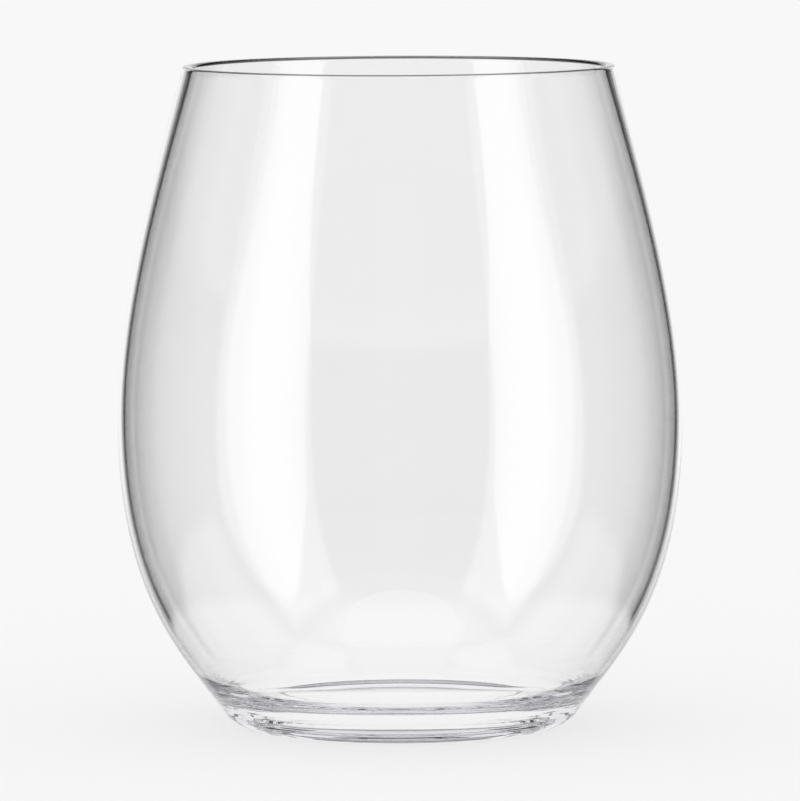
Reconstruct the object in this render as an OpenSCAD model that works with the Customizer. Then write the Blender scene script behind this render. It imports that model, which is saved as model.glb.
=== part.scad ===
// Stemless wine glass: one clear moulding, turned about the Z axis.
// The outline starts under the base at the axis, goes round the outside to the rim and comes back inside.

/* [Outside] */
// Height from the table to the top of the rim
height = 106.7; // [100:0.1:116]
// Outer diameter where the wall meets the rim
rim_d = 69.8; // [65:0.1:75]
// Outer diameter at the widest place
belly_d = 91.3; // [86:0.1:98]
// Height of the widest place above the table
belly_z = 49.7; // [44:0.1:56]
// Lean of the wall at the rim, in degrees from upright
rim_lean = 13.8; // [9:0.2:18]
// Lean of the wall just above the foot, in degrees from upright
heel_lean = 33.8; // [30:0.2:38]

/* [Foot] */
// Outer diameter of the flat ring that the glass stands on
ring_d = 49.4; // [46:0.2:53]
// Width of that ring
ring_w = 4.3; // [3:0.1:8]
// Radius of the corner between the ring and the wall
foot_corner_r = 4.8; // [3.5:0.1:6]
// Depth of the hollow under the base
hollow_depth = 0.9; // [0.4:0.1:1]
// Radius of the rounded step round that hollow
hollow_edge_r = 0.6; // [0.5:0.1:2.5]

/* [Wall and base] */
// Wall at the rim
rim_wall = 1.7; // [1.35:0.05:2.2]
// Wall at the widest place
belly_wall = 1.2; // [0.8:0.05:1.6]
// Wall just above the foot, if the inside corner were not filled
heel_wall = 1.65; // [1.1:0.05:2]
// Height of the flat inside floor above the table
floor_z = 3.2; // [2.6:0.1:6]
// Diameter of that flat floor
floor_d = 34; // [20:1:40]
// Height at which the inside corner ends and the plain wall begins
corner_top_z = 10; // [8:0.5:16]
// Radius of the two softened edges of the rim
rim_edge_r = 0.55; // [0.3:0.05:0.65]

/* [Hidden] */

// Slope handles of the outline's two curves, as shares of each curve's height
foot_handle_share = 0.227;
belly_low_handle_share = 0.625;
belly_high_handle_share = 0.35;
rim_handle_share = 0.216;

// Steps along each curve and each rounded corner
curve_steps = 20;
corner_steps = 12;

belly = [belly_d / 2, belly_z];
ring_r = ring_d / 2;
ring_inner_r = ring_r - ring_w;

// Unit vectors along and out of a wall that widens upwards at an angle from upright
function along(lean) = [sin(lean), cos(lean)];
function outward(lean) = [cos(lean), -sin(lean)];

// Points of an arc about a centre, from one angle to another
function arc(centre, radius, from, to) = [
    for (i = [0:corner_steps])
        let (angle = from + (to - from) * i / corner_steps)
            centre + radius * [cos(angle), sin(angle)]
];

// A list without its first point, where that repeats the last point of the list before it
function after_first(points) = [for (i = [1:len(points) - 1]) points[i]];

// A cubic curve and its lean from upright, at a share of the way along it
function curve_point(ends, share) =
    let (rest = 1 - share)
        pow(rest, 3) * ends[0] + 3 * pow(rest, 2) * share * ends[1]
            + 3 * rest * pow(share, 2) * ends[2] + pow(share, 3) * ends[3];
function curve_lean(ends, share) =
    let (rest = 1 - share)
    let (way = pow(rest, 2) * (ends[1] - ends[0]) + 2 * rest * share * (ends[2] - ends[1])
            + pow(share, 2) * (ends[3] - ends[2]))
        atan2(way[0], way[1]);

// Foot corner: tangent to the ring and to the wall
foot_centre = [ring_r, foot_corner_r];
heel = foot_centre + foot_corner_r * outward(heel_lean);
foot_corner = arc(foot_centre, foot_corner_r, -90, -heel_lean);

// Outside wall below the widest place
low_span = belly_z - heel[1];
low_curve = [
    heel,
    heel + foot_handle_share * low_span * along(heel_lean),
    belly - [0, belly_low_handle_share * low_span],
    belly
];

// Outside wall above the widest place
rim_centre_z = height - rim_edge_r;
rim_end = [rim_d / 2, rim_centre_z + rim_edge_r * sin(rim_lean)];
high_span = rim_end[1] - belly_z;
high_curve = [
    belly,
    belly + [0, belly_high_handle_share * high_span],
    rim_end - rim_handle_share * high_span * along(-rim_lean),
    rim_end
];

// Points down a curve, and the same points moved in by the wall there
shares = [for (i = [0:curve_steps]) i / curve_steps];
low_outside = [for (share = shares) curve_point(low_curve, share)];
high_outside = [for (share = shares) curve_point(high_curve, share)];

// The wall is thinnest at the belly and thickens with the square of the way to the rim or the base
function low_wall(z) = belly_wall + (heel_wall - belly_wall) * pow((belly_z - z) / low_span, 2);
function high_wall(z) = belly_wall + (rim_wall - belly_wall) * pow((z - belly_z) / high_span, 2);
low_inside = [
    for (share = shares)
        let (point = curve_point(low_curve, share))
            point - low_wall(point[1]) * outward(curve_lean(low_curve, share))
];
high_inside = [
    for (share = shares)
        let (point = curve_point(high_curve, share))
            point - high_wall(point[1]) * outward(curve_lean(high_curve, share))
];

// Inside corner: one soft sweep, tangent to the flat floor and to the wall
inside_r = lookup(corner_top_z, [for (point = low_inside) [point[1], point[0]]]);
inside_lean = lookup(
    corner_top_z,
    [for (i = [0:curve_steps]) [low_inside[i][1], curve_lean(low_curve, shares[i])]]
);
corner_ends = [
    [inside_r, corner_top_z],
    [inside_r - (corner_top_z - floor_z) * tan(inside_lean), floor_z],
    [floor_d / 2, floor_z]
];
corner_shares = [for (i = [0:corner_steps]) i / corner_steps];
inside_corner = [
    for (share = corner_shares)
        let (rest = 1 - share)
            pow(rest, 2) * corner_ends[0] + 2 * rest * share * corner_ends[1] + pow(share, 2) * corner_ends[2]
];

// Rim: cut level, with a small round on each edge
rim_outer_centre = rim_end - rim_edge_r * outward(-rim_lean);
rim_inner_centre = rim_outer_centre - [(rim_wall - 2 * rim_edge_r) / cos(rim_lean), 0];
rim_edges = concat(
    arc(rim_outer_centre, rim_edge_r, rim_lean, 90),
    arc(rim_inner_centre, rim_edge_r, 90, 180 + rim_lean)
);

// Hollow under the base: a flat disc with a rounded step down to the ring
hollow_lean = acos((hollow_edge_r - hollow_depth / 2) / hollow_edge_r);
hollow_run = 2 * hollow_edge_r * sin(hollow_lean);
hollow = concat(
    [[0, hollow_depth]],
    arc([ring_inner_r - hollow_run, hollow_depth - hollow_edge_r], hollow_edge_r, 90, 90 - hollow_lean),
    after_first(arc([ring_inner_r, hollow_edge_r], hollow_edge_r, 270 - hollow_lean, 270))
);

outline = concat(
    hollow,
    foot_corner,
    after_first(low_outside),
    after_first(high_outside),
    after_first(rim_edges),
    [for (i = [curve_steps - 1:-1:0]) high_inside[i]],
    [for (i = [curve_steps - 1:-1:0]) if (low_inside[i][1] > corner_top_z) low_inside[i]],
    inside_corner,
    [[0, floor_z]]
);

// The whole glass, one moulding with no seam
module glass() {
    color([0.86, 0.88, 0.91, 0.45])
        rotate_extrude($fn = 180)
            polygon(outline);
}

glass();
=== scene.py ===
# %% [markdown]
# A stemless wine glass in clear copolyester, seen by a table-top camera.
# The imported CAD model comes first, because it fixes the frame: metres, +Z up, the origin on the table
# under the middle of the glass. What follows makes the finished glass around it, then the studio.

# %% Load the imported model
import functools
import math

import bpy
import numpy as np
from mathutils import Matrix


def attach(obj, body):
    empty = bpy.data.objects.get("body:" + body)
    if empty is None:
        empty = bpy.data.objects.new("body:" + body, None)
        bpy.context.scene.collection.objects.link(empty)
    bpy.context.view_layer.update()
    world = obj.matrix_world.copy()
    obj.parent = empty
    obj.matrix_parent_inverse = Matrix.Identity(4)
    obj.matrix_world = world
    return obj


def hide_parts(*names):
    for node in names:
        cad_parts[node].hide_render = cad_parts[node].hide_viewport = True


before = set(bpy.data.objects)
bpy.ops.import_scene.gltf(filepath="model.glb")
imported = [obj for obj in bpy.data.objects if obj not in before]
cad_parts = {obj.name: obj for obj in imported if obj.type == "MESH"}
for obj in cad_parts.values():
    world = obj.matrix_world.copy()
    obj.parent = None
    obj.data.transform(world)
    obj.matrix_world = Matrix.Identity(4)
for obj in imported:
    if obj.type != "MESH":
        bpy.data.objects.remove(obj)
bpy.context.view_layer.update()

# %% [markdown]
# The glass is one moulding, and every cut through its axis shows the same outline. So its sizes are
# the few numbers of that outline, in millimetres, and they are the same ones as in the CAD source.
# The shape could be spun from a curve with a modifier. Working the outline out with numpy instead keeps
# each curve's formula in sight, and gives even quads with no seam.

# %% Sizes of the outline, in mm, and leans in degrees from upright
MM = 0.001
HEIGHT, RIM_D, BELLY_D, BELLY_Z = 106.7, 69.8, 91.3, 49.7
RIM_LEAN, HEEL_LEAN = 13.8, 33.8
RING_D, RING_W, FOOT_CORNER_R = 49.4, 4.3, 4.8
HOLLOW_DEPTH, HOLLOW_EDGE_R = 0.9, 0.6
RIM_WALL, BELLY_WALL, HEEL_WALL, RIM_EDGE_R = 1.7, 1.2, 1.65, 0.55
FLOOR_Z, FLOOR_D, CORNER_TOP_Z = 3.2, 34.0, 10.0
FOOT_SHARE, BELLY_LOW_SHARE, BELLY_HIGH_SHARE, RIM_SHARE = 0.227, 0.625, 0.35, 0.216
# How many steps each stretch of the outline is divided into
FOOT_STEPS, WALL_STEPS, RIM_STEPS, CORNER_STEPS = 20, 76, 6, 40
HOLLOW_STEPS, FLOOR_STEPS, FLAT_STEPS = 10, 13, 7
# The least height that an inside wall ring keeps above the inside corner
RING_GAP = 0.05

# %% Outline helpers
def along(lean):
    """Unit vector up a wall that widens upwards at an angle from upright."""
    return np.array([math.sin(math.radians(lean)), math.cos(math.radians(lean))])


def outward(lean):
    """Unit vector out of that wall, square to it."""
    return np.array([math.cos(math.radians(lean)), -math.sin(math.radians(lean))])


def arc(centre, radius, start, end, steps):
    """Points at a radius about a centre, their angle going evenly from start to end in degrees."""
    angle = np.radians(np.linspace(start, end, steps + 1))
    return np.asarray(centre) + radius * np.stack([np.cos(angle), np.sin(angle)], 1)


def cubic(ends, steps):
    """Cubic curve: each point is the four control points weighted by the terms of (rest + share) cubed.
    Also the curve's lean from upright, from the same sum over the steps between the control points."""
    share = np.linspace(0, 1, steps + 1)[:, None]
    rest = 1 - share
    first, second, third, fourth = ends
    points = rest**3 * first + 3 * rest**2 * share * second + 3 * rest * share**2 * third + share**3 * fourth
    way = rest**2 * (second - first) + 2 * rest * share * (third - second) + share**2 * (fourth - third)
    return points, np.degrees(np.arctan2(way[:, 0], way[:, 1]))


def moved_in(points, leans, wall):
    """Each point moved square to the curve by the wall there, which gives the inside of the wall."""
    square = np.stack([np.cos(np.radians(leans)), -np.sin(np.radians(leans))], 1)
    return points - wall[:, None] * square


def wall_at(heights, end_wall, span):
    """Wall at each height: thinnest at the belly, thicker with the square of the share of the span."""
    return BELLY_WALL + (end_wall - BELLY_WALL) * ((heights - BELLY_Z) / span)**2


# %% The whole outline, from under the base round the outside, over the rim and down the inside
def outline():
    """Radius and height of each ring, in mm: hollow, foot, wall, rim, inside wall, rounded inside bottom."""
    belly = np.array([BELLY_D / 2, BELLY_Z])
    foot_centre = np.array([RING_D / 2, FOOT_CORNER_R])
    heel = foot_centre + FOOT_CORNER_R * outward(HEEL_LEAN)
    foot = arc(foot_centre, FOOT_CORNER_R, -90, -HEEL_LEAN, FOOT_STEPS)

    low_span = BELLY_Z - heel[1]
    low_ends = [heel, heel + FOOT_SHARE * low_span * along(HEEL_LEAN),
                belly - [0, BELLY_LOW_SHARE * low_span], belly]
    low, low_lean = cubic(low_ends, WALL_STEPS)
    low_in = moved_in(low, low_lean, wall_at(low[:, 1], HEEL_WALL, low_span))

    rim_end = np.array([RIM_D / 2, HEIGHT - RIM_EDGE_R + RIM_EDGE_R * math.sin(math.radians(RIM_LEAN))])
    high_span = rim_end[1] - BELLY_Z
    high_ends = [belly, belly + [0, BELLY_HIGH_SHARE * high_span],
                 rim_end - RIM_SHARE * high_span * along(-RIM_LEAN), rim_end]
    high, high_lean = cubic(high_ends, WALL_STEPS)
    high_in = moved_in(high, high_lean, wall_at(high[:, 1], RIM_WALL, high_span))

    outer_round = rim_end - RIM_EDGE_R * outward(-RIM_LEAN)
    inner_round = outer_round - [(RIM_WALL - 2 * RIM_EDGE_R) / math.cos(math.radians(RIM_LEAN)), 0]
    rim = np.vstack([arc(outer_round, RIM_EDGE_R, RIM_LEAN, 90, RIM_STEPS),
                     arc(inner_round, RIM_EDGE_R, 90, 180 + RIM_LEAN, RIM_STEPS)])

    inside_r = np.interp(CORNER_TOP_Z, low_in[:, 1], low_in[:, 0])
    inside_lean = math.radians(np.interp(CORNER_TOP_Z, low_in[:, 1], low_lean))
    corner_top = np.array([inside_r, CORNER_TOP_Z])
    knee = np.array([inside_r - (CORNER_TOP_Z - FLOOR_Z) * math.tan(inside_lean), FLOOR_Z])
    share = np.linspace(0, 1, CORNER_STEPS + 1)[:, None]
    floor_r = np.linspace(FLOOR_D / 2, 0, FLOOR_STEPS + 1)
    floor = np.stack([floor_r, np.full(FLOOR_STEPS + 1, FLOOR_Z)], 1)
    corner = (1 - share)**2 * corner_top + 2 * (1 - share) * share * knee + share**2 * floor[0]

    step = math.degrees(math.acos(1 - HOLLOW_DEPTH / 2 / HOLLOW_EDGE_R))
    run = 2 * HOLLOW_EDGE_R * math.sin(math.radians(step))
    ring_inner_r = RING_D / 2 - RING_W
    hollow = np.vstack([
        arc([ring_inner_r - run, HOLLOW_DEPTH - HOLLOW_EDGE_R], HOLLOW_EDGE_R, 90, 90 - step, HOLLOW_STEPS),
        arc([ring_inner_r, HOLLOW_EDGE_R], HOLLOW_EDGE_R, 270 - step, 270, HOLLOW_STEPS)[1:]])
    flat = np.stack([np.linspace(0, hollow[0, 0], FLAT_STEPS + 1)[:-1], np.full(FLAT_STEPS, HOLLOW_DEPTH)], 1)

    inside = low_in[:-1][::-1]
    return np.vstack([flat, hollow, foot, low[1:], high[1:], rim[1:], high_in[:-1][::-1],
                      inside[inside[:, 1] > CORNER_TOP_Z + RING_GAP], corner, floor[1:]])


rings = outline()
print(len(rings), "points on the outline")
print("top at", rings[:, 1].max(), "mm, widest radius", rings[:, 0].max(), "mm")

# %% [markdown]
# Turned about the axis, the outline closes on itself: its first and last points lie on the axis, and each
# becomes one point that a fan of triangles meets. Every other ring has the same number of points, so the wall
# is quads only. A refracting piece has to be closed like this, or light would enter it and never leave.

# %% The turned surface
AROUND = 240


def turned(name, outline_mm, around):
    """Closed surface of revolution: x = radius times cos of the angle, y = radius times its sin, z = height.
    The two points on the axis are kept single, so both poles are closed."""
    radius, height = outline_mm[1:-1].T * MM
    angle = np.linspace(0, 2 * math.pi, around, endpoint=False)
    grid = np.stack([radius[:, None] * np.cos(angle), radius[:, None] * np.sin(angle),
                     np.broadcast_to(height[:, None], (len(radius), around))], 2).reshape(-1, 3)
    poles = np.array([[0, 0, outline_mm[0, 1]], [0, 0, outline_mm[-1, 1]]]) * MM
    row = np.arange(len(radius) - 1)[:, None] * around
    here, after = np.arange(around), (np.arange(around) + 1) % around
    quads = np.stack([row + here, row + after, row + around + after, row + around + here], 2).reshape(-1, 4)
    low_pole, high_pole, last = len(grid), len(grid) + 1, (len(radius) - 1) * around
    fans = np.vstack([np.stack([np.full(around, low_pole), after, here], 1),
                      np.stack([np.full(around, high_pole), last + here, last + after], 1)])
    mesh = bpy.data.meshes.new(name)
    mesh.from_pydata(np.vstack([grid, poles]), [], quads.tolist() + fans.tolist())
    mesh.polygons.foreach_set("use_smooth", np.ones(len(mesh.polygons), bool))
    mesh.update()
    piece = bpy.data.objects.new(name, mesh)
    bpy.context.scene.collection.objects.link(piece)
    return piece


moulding = turned("glass_moulding", rings, AROUND)
triangles = sum(len(polygon.vertices) - 2 for polygon in moulding.data.polygons)
print(moulding.name, len(moulding.data.vertices), "points and", triangles, "triangles")

# %% The moulding stands for the CAD solid
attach(moulding, "root")
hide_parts("glass")

# %% [markdown]
# Every material and the studio light are made of shader nodes. One function adds a node, sets what it is told
# to and links what it is given, so that each finish below reads like a list.

# %% Two helpers for colours and nodes
def linear(hex_colour):
    """An sRGB hex colour as linear red, green, blue and full alpha."""
    values = [int(hex_colour[i:i + 2], 16) / 255 for i in (1, 3, 5)]
    return tuple(v / 12.92 if v <= 0.04045 else ((v + 0.055) / 1.055)**2.4 for v in values) + (1.0,)


def add(tree, kind, inputs=(), **settings):
    """Adds one node. An input that is a socket is linked, and any other is set as its value."""
    made = tree.nodes.new(kind)
    for key, value in settings.items():
        setattr(made, key, value)
    for key, value in dict(inputs).items():
        if isinstance(value, bpy.types.NodeSocket):
            tree.links.new(value, made.inputs[key])
        else:
            made.inputs[key].default_value = value
    return made


def fresh_tree(owner):
    """The owner's node tree, emptied."""
    owner.use_nodes = True
    owner.node_tree.nodes.clear()
    return owner.node_tree


def maths(tree, operation, *values):
    """The result of one Math node."""
    return add(tree, "ShaderNodeMath", enumerate(values), operation=operation).outputs[0]


def choose(tree, chance, otherwise, chosen):
    """The chosen value where the chance is one, else the other."""
    return add(tree, "ShaderNodeMix", {"Factor": chance, "A": otherwise, "B": chosen},
               data_type="FLOAT").outputs["Result"]


def fade(tree, value, start, end, first, last):
    """A smooth change from first to last while the value goes from start to end."""
    ends = {"Value": value, "From Min": start, "From Max": end, "To Min": first, "To Max": last}
    return add(tree, "ShaderNodeMapRange", ends, interpolation_type="SMOOTHSTEP").outputs[0]


# %% [markdown]
# Clear copolyester is the tough plastic of unbreakable drinking glasses. It is formed in a polished steel
# mould, so it is nearly as smooth and bright as glass, with an index of 1.54. It has a slight lavender cast
# where much of it lies in the line of sight, as in the base. That could be a tinted surface, but colour taken
# up in the volume grows with the thickness, as in the real base. The mould's turned foot leaves fine rings.

# %% Material: clear copolyester, lengths in mm, absorption per metre
INDEX, CAST_COLOUR, CAST_DENSITY = 1.54, "#c9c7d6", 9.0
MARK_PITCH, MARK_DEPTH, MARKS_FADE_FROM, MARKS_END = 0.7, 0.004, 6.0, 8.5


def clear_copolyester():
    material = bpy.data.materials.new("clear_copolyester_moulded_and_polished")
    tree = fresh_tree(material)
    place = add(tree, "ShaderNodeTexCoord").outputs["Object"]
    height_m = add(tree, "ShaderNodeSeparateXYZ", {0: place}).outputs["Z"]

    # turning marks of the mould: one ring at each pitch, only on the foot
    ring = maths(tree, "SINE", maths(tree, "MULTIPLY", height_m, 2 * math.pi / (MARK_PITCH * MM)))
    on_foot = fade(tree, height_m, MARKS_FADE_FROM * MM, MARKS_END * MM, 1.0, 0.0)
    marks = maths(tree, "MULTIPLY", ring, on_foot)
    marks = maths(tree, "MULTIPLY", marks, MARK_DEPTH * MM)
    relief = add(tree, "ShaderNodeBump", {"Strength": 1.0, "Distance": 1.0, "Height": marks}).outputs[0]

    shader = add(tree, "ShaderNodeBsdfPrincipled", {
        "Base Color": linear("#ffffff"), "Roughness": 0.0, "IOR": INDEX, "Transmission Weight": 1.0,
        "Normal": relief})
    cast = add(tree, "ShaderNodeVolumeAbsorption", {"Color": linear(CAST_COLOUR), "Density": CAST_DENSITY})
    add(tree, "ShaderNodeOutputMaterial", {"Surface": shader.outputs[0], "Volume": cast.outputs[0]})
    return material


moulding.data.materials.append(clear_copolyester())

# %% [markdown]
# The camera stands 1.16 m in front of the glass and 0.16 m above the table, and looks slightly down. The
# place was found from the outline and the ellipse of the rim in the photograph. The image is 800 by 801
# pixels. Light that is mirrored many times inside the base needs many bounces, or the base turns black.

# %% Camera
BOUNCES = 24
bpy.context.scene.view_settings.view_transform = "Standard"
light_paths = bpy.context.scene.cycles
light_paths.max_bounces = light_paths.glossy_bounces = light_paths.transmission_bounces = BOUNCES
IMAGE_WIDTH_PX, LENS_PX, SENSOR_MM = 800, 7238, 36
CAMERA_BACK, CAMERA_UP, PITCH, ROLL = 1.1646, 0.1592, 5.236, -0.25
camera_data = bpy.data.cameras.new("table_camera")
camera_data.sensor_fit = "HORIZONTAL"
camera_data.sensor_width = SENSOR_MM
camera_data.lens = LENS_PX / IMAGE_WIDTH_PX * SENSOR_MM
camera_data.clip_start, camera_data.clip_end = 0.01, 50
camera = bpy.data.objects.new("table_camera", camera_data)
camera.location = (0, -CAMERA_BACK, CAMERA_UP)
turn = Matrix.Rotation(math.radians(90 - PITCH), 3, "X") @ Matrix.Rotation(math.radians(ROLL), 3, "Z")
camera.rotation_euler = turn.to_euler()
bpy.context.scene.collection.objects.link(camera)
bpy.context.scene.camera = camera

# %% [markdown]
# A clear object shows only what stands around it. Photographers light it with a pale backdrop, two tall soft
# boxes in front and dark gaps between them: the gaps draw the edges as thin dark lines, and the boxes show as
# two bright stripes. The studio could be made of lit cards. Here it is the world, written as a function of
# direction, which leaves no card in the way of a ray and brings little noise.
# Aside is the angle from straight behind the glass, the same to both sides, and rise is the angle above the
# horizon. Both are in degrees, and so is every pair of angles below, between which a light fades.

# %% Studio: how bright each part is, where 1 is white
PALE, GAP, FRONT = 0.939, 0.02, 0.28
BOX, BOX_CORE, OVERHEAD = 1.1, 0.2, 0.8
UPPER_FRONT, LOWER_FRONT = 1.15, 0.6
INNER_UPPER, BELOW_SHARE, AMBIENT = 0.9, 0.08, 1.04

# %% Studio: where each part is, in degrees
BACKDROP_EDGE = (18, 24)
SIDE_FILL = (25, 90)
BOX_SIDES, BOX_EDGE, BOX_TOP = (98, 143), 3, (48, 52)
CORE_SIDES, CORE_EDGE = (108, 141), 8
# The foot of each box is a curve: lowest at its middle, and higher by a square law to both sides
BOX_MIDDLE, BOX_HALF, BOX_FOOT, BOX_FOOT_LIFT, BOX_FOOT_EDGE = 120, 22, -44, 30, 4
OVERHEAD_EDGE = (50, 60)
FRONT_SHEET_SIDE, FRONT_SHEET_TOP = (139, 142), (-35, -32)
UPPER_EDGE, LOWER_EDGE, SHEETS_SIDE = (9, 13), (-20, -16), (60, 100)
# For rays turned back inside the wall: panels all round, then the side fill, and a pale upper part
PANELS_AROUND, PANEL_EDGE, PANELS_END = 4, (-0.1, 0.25), (35, 45)
INNER_RISE, INNER_SIDE = (8, 14), (80, 95)
BELOW_EDGE = (-24, -12)
# A count of bounces above this is at least one
ANY = 0.5

# %% Studio: direction as angles
world = bpy.data.worlds.new("studio")
bpy.context.scene.world = world
world.cycles.sampling_method = "NONE"
studio = fresh_tree(world)
direction = add(studio, "ShaderNodeTexCoord").outputs["Generated"]
across, back, up = add(studio, "ShaderNodeSeparateXYZ", {0: direction}).outputs
degrees = 180 / math.pi
azimuth = maths(studio, "MULTIPLY", maths(studio, "ARCTAN2", across, back), degrees)
aside = maths(studio, "ABSOLUTE", azimuth)
rise = maths(studio, "MULTIPLY", maths(studio, "ARCSINE", up), degrees)


def times(*values):
    """The product of the studio values."""
    return functools.reduce(lambda a, b: maths(studio, "MULTIPLY", a, b), values)


def brightest(*values):
    """The greatest of the studio values."""
    return functools.reduce(lambda a, b: maths(studio, "MAXIMUM", a, b), values)


def window(value, start, end, edge):
    """One where the value lies between start and end, falling to zero over the edge at both."""
    return times(fade(studio, value, start, start + edge, 0, 1), fade(studio, value, end - edge, end, 1, 0))


# %% Studio: soft boxes
off_middle = maths(studio, "DIVIDE", maths(studio, "SUBTRACT", aside, BOX_MIDDLE), BOX_HALF)
foot = maths(studio, "MULTIPLY_ADD", maths(studio, "POWER", off_middle, 2), BOX_FOOT_LIFT, BOX_FOOT)
above_foot = maths(studio, "SUBTRACT", rise, foot)
box = times(window(aside, *BOX_SIDES, BOX_EDGE), fade(studio, above_foot, 0, BOX_FOOT_EDGE, 0, 1),
            fade(studio, rise, *BOX_TOP, 1, 0))
core = window(aside, *CORE_SIDES, CORE_EDGE)
boxes = times(box, maths(studio, "MULTIPLY_ADD", core, BOX_CORE, BOX))

# %% Studio: backdrop, overhead panel and what fills the front
overhead = fade(studio, rise, *OVERHEAD_EDGE, 0, OVERHEAD)
backdrop = fade(studio, aside, *BACKDROP_EDGE, PALE, GAP)
front_sheet = times(fade(studio, aside, *FRONT_SHEET_SIDE, 0, PALE),
                    fade(studio, rise, *FRONT_SHEET_TOP, 1, 0))
side_fill = brightest(fade(studio, aside, *SIDE_FILL, GAP, FRONT), front_sheet)
front_sheets = maths(studio, "ADD", fade(studio, rise, *UPPER_EDGE, 0, UPPER_FRONT),
                     fade(studio, rise, *LOWER_EDGE, LOWER_FRONT, 0))
front_sheets = times(front_sheets, fade(studio, aside, *SHEETS_SIDE, 0, 1))
mirrored = brightest(backdrop, side_fill, front_sheets, boxes, overhead)

# %% [markdown]
# A real studio is one thing for every ray. This one isn't: what a ray sees depends on how it got there, which
# was tuned by comparing renders with the photograph. A ray that goes straight through meets pale light, so
# the bowl stays clear. One that was turned back inside the wall meets panels with dark gaps, which draw the
# edges and the rim. One that leaves below the horizon meets little light, which draws the rim too. So the
# dark lines are a property of this lighting, and say nothing exact about the wall of the real glass.

# %% Studio: which rays see what
path = add(studio, "ShaderNodeLightPath")
turned_back = maths(studio, "GREATER_THAN", path.outputs["Glossy Depth"], ANY)
wave = maths(studio, "COSINE", maths(studio, "MULTIPLY", azimuth, PANELS_AROUND / degrees))
panels = fade(studio, wave, *PANEL_EDGE, GAP, PALE)
beyond_panels = times(turned_back, fade(studio, aside, *PANELS_END, 0, 1))
inner_upper = times(fade(studio, rise, *INNER_RISE, 0, 1), fade(studio, aside, *INNER_SIDE, 1, 0))
inner = choose(studio, inner_upper, choose(studio, beyond_panels, panels, side_fill), INNER_UPPER)
straight_or_inner = choose(studio, turned_back, PALE, inner)
above_ground = fade(studio, rise, *BELOW_EDGE, BELOW_SHARE, 1)
refracted = brightest(times(straight_or_inner, above_ground), boxes, overhead)
light = choose(studio, path.outputs["Is Transmission Ray"], mirrored, refracted)
light = choose(studio, maths(studio, "GREATER_THAN", path.outputs["Diffuse Depth"], ANY), light, AMBIENT)
light = choose(studio, path.outputs["Is Camera Ray"], light, PALE)
shade = add(studio, "ShaderNodeCombineColor", {0: light, 1: light, 2: light}).outputs[0]
add(studio, "ShaderNodeOutputWorld", {0: add(studio, "ShaderNodeBackground", {0: shade}).outputs[0]})

# %% [markdown]
# The table is a matt white disc. To the camera it is mostly evenly lit, with enough of the matt white left
# for the soft shadow under the glass. A mirrored ray sees it as a painted lit patch round the foot, which
# glows by itself with no shadow, and a refracted one as a patch a little wider. Past the patch the table is
# clear, and the ray goes on to the studio.

# %% Table, lengths in metres
TABLE_R, TABLE_Z = 0.30, -0.00002
TABLE_WHITE, PATCH_LIGHT, EVEN_SHARE = (0.9, 0.9, 0.9, 1), 0.93, 0.75
MIRRORED_PATCH, STRAIGHT_PATCH, TURNED_PATCH = (0.026, 0.050), (0.060, 0.080), (0.060, 0.072)


def disc(name, radius, height, around=128):
    """A flat disc: one polygon whose corners lie evenly on a circle."""
    angle = np.linspace(0, 2 * math.pi, around, endpoint=False)
    corners = np.stack([radius * np.cos(angle), radius * np.sin(angle), np.full(around, height)], 1)
    mesh = bpy.data.meshes.new(name)
    mesh.from_pydata(corners, [], [list(range(around))])
    made = bpy.data.objects.new(name, mesh)
    bpy.context.scene.collection.objects.link(made)
    return made


def white_table():
    material = bpy.data.materials.new("white_matt_table")
    tree = fresh_tree(material)
    place = add(tree, "ShaderNodeTexCoord").outputs["Object"]
    out = add(tree, "ShaderNodeVectorMath", {0: place}, operation="LENGTH").outputs["Value"]
    ray = add(tree, "ShaderNodeLightPath")
    bent = maths(tree, "MAXIMUM", ray.outputs["Is Transmission Ray"], ray.outputs["Is Glossy Ray"])
    matt = add(tree, "ShaderNodeBsdfDiffuse", {0: TABLE_WHITE}).outputs[0]
    even = add(tree, "ShaderNodeEmission", {0: (1, 1, 1, 1), 1: PALE}).outputs[0]
    mostly_even = add(tree, "ShaderNodeMixShader", {0: EVEN_SHARE, 1: matt, 2: even}).outputs[0]
    for_camera = ray.outputs["Is Camera Ray"]
    plain = add(tree, "ShaderNodeMixShader", {0: for_camera, 1: matt, 2: mostly_even}).outputs[0]

    # the painted lit patch, a glow of its own, and how far past it the ray lands: its edge depends on how the
    # ray got there
    # painted light: for mirrored and refracted rays the patch glows evenly, in place of the table's real
    # light and the shadow under the glass
    lit = add(tree, "ShaderNodeEmission", {0: (1, 1, 1, 1), 1: PATCH_LIGHT}).outputs[0]
    clear = add(tree, "ShaderNodeBsdfTransparent").outputs[0]
    refracted_ray, depth = ray.outputs["Is Transmission Ray"], ray.outputs["Glossy Depth"]
    straight = maths(tree, "MULTIPLY", refracted_ray, maths(tree, "LESS_THAN", depth, ANY))
    turned_ray = maths(tree, "MULTIPLY", refracted_ray, maths(tree, "GREATER_THAN", depth, ANY))
    past = fade(tree, out, *MIRRORED_PATCH, 0, 1)
    past = choose(tree, straight, past, fade(tree, out, *STRAIGHT_PATCH, 0, 1))
    past = choose(tree, turned_ray, past, fade(tree, out, *TURNED_PATCH, 0, 1))
    patch = add(tree, "ShaderNodeMixShader", {0: past, 1: lit, 2: clear}).outputs[0]
    top = add(tree, "ShaderNodeMixShader", {0: bent, 1: plain, 2: patch})
    add(tree, "ShaderNodeOutputMaterial", {0: top.outputs[0]})
    return material


table = disc("table", TABLE_R, TABLE_Z)
table.data.materials.append(white_table())
